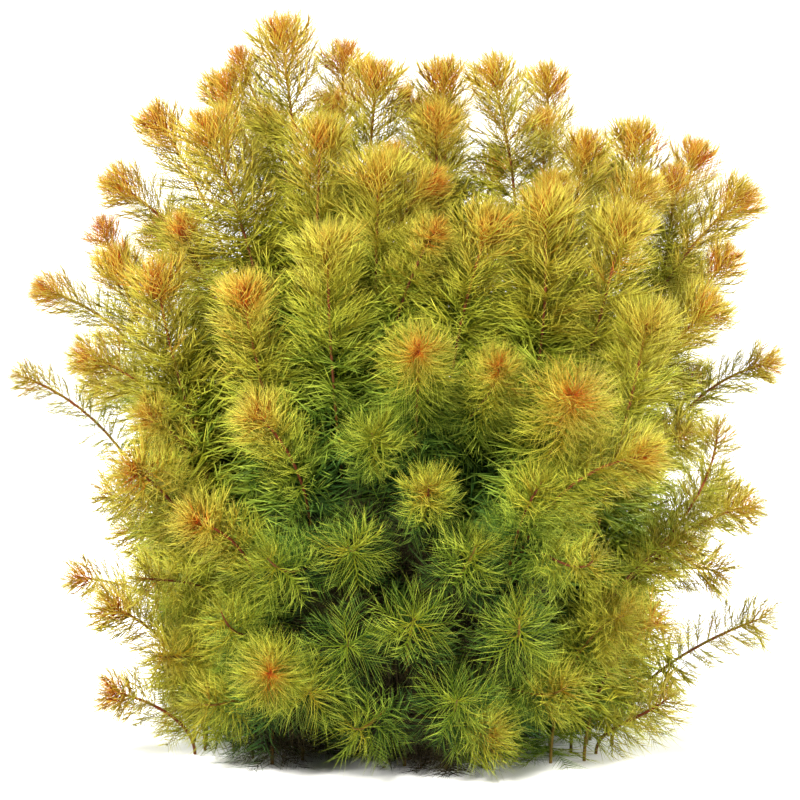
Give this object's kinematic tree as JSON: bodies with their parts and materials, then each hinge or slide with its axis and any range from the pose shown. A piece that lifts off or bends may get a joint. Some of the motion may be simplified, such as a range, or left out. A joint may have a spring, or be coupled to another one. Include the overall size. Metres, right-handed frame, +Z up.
{
  "type": "water milfoil clump",
  "caption": "Dense dome-shaped clump of water milfoil: thin stems with whorls of feathery comb-like leaves, orange-gold at the tips and green below, cut flat at the ground.",
  "frame": {"origin": "on the ground, under the middle of the clump's spread", "axes": "+Z up, -Y towards the side that the picture shows, +X to that side's right"},
  "size_m": [0.3544, 0.2898, 0.3279],
  "materials": {
    "golden_shoot": "matte, hair-fine leaves, red-brown at the bud, gold to yellow-green below",
    "lime_shoot": "matte, hair-fine leaves, gold at the bud, yellow-green below",
    "green_shoot": "matte, hair-fine leaves, yellow-green at the bud, deep green below"
  },
  "bodies": {
    "root": {"crown_shoot_1": "golden_shoot", "crown_shoot_2": "golden_shoot", "crown_shoot_3": "golden_shoot", "crown_shoot_4": "golden_shoot", "crown_shoot_5": "golden_shoot", "crown_shoot_6": "golden_shoot", "crown_shoot_7": "golden_shoot", "crown_shoot_8": "golden_shoot", "crown_shoot_9": "golden_shoot", "crown_shoot_10": "golden_shoot", "crown_shoot_11": "golden_shoot", "crown_shoot_12": "golden_shoot", "crown_shoot_13": "golden_shoot", "left_shoot_1": "golden_shoot", "left_shoot_2": "golden_shoot", "left_shoot_3": "golden_shoot", "left_shoot_4": "golden_shoot", "left_shoot_5": "golden_shoot", "left_shoot_6": "lime_shoot", "left_shoot_7": "lime_shoot", "left_shoot_8": "golden_shoot", "left_shoot_9": "golden_shoot", "right_shoot_1": "golden_shoot", "right_shoot_2": "golden_shoot", "right_shoot_3": "golden_shoot", "right_shoot_4": "lime_shoot", "right_shoot_5": "lime_shoot", "right_shoot_6": "lime_shoot", "right_shoot_7": "lime_shoot", "right_shoot_8": "lime_shoot", "front_shoot_1": "golden_shoot", "front_shoot_2": "lime_shoot", "front_shoot_3": "golden_shoot", "front_shoot_4": "golden_shoot", "front_shoot_5": "lime_shoot", "front_shoot_6": "golden_shoot", "front_shoot_7": "golden_shoot", "front_shoot_8": "lime_shoot", "front_shoot_9": "golden_shoot", "front_shoot_10": "golden_shoot", "front_shoot_11": "golden_shoot", "front_shoot_12": "golden_shoot", "front_shoot_13": "green_shoot", "front_shoot_14": "green_shoot", "front_shoot_15": "lime_shoot", "back_shoot_1": "golden_shoot", "back_shoot_2": "golden_shoot", "back_shoot_3": "golden_shoot", "back_shoot_4": "golden_shoot", "back_shoot_5": "lime_shoot", "back_shoot_6": "golden_shoot", "back_shoot_7": "golden_shoot", "back_shoot_8": "lime_shoot", "back_shoot_9": "golden_shoot", "back_shoot_10": "lime_shoot", "back_shoot_11": "golden_shoot", "back_shoot_12": "lime_shoot", "back_shoot_13": "lime_shoot", "back_shoot_14": "green_shoot", "back_shoot_15": "lime_shoot"}
  },
  "joints": []
}
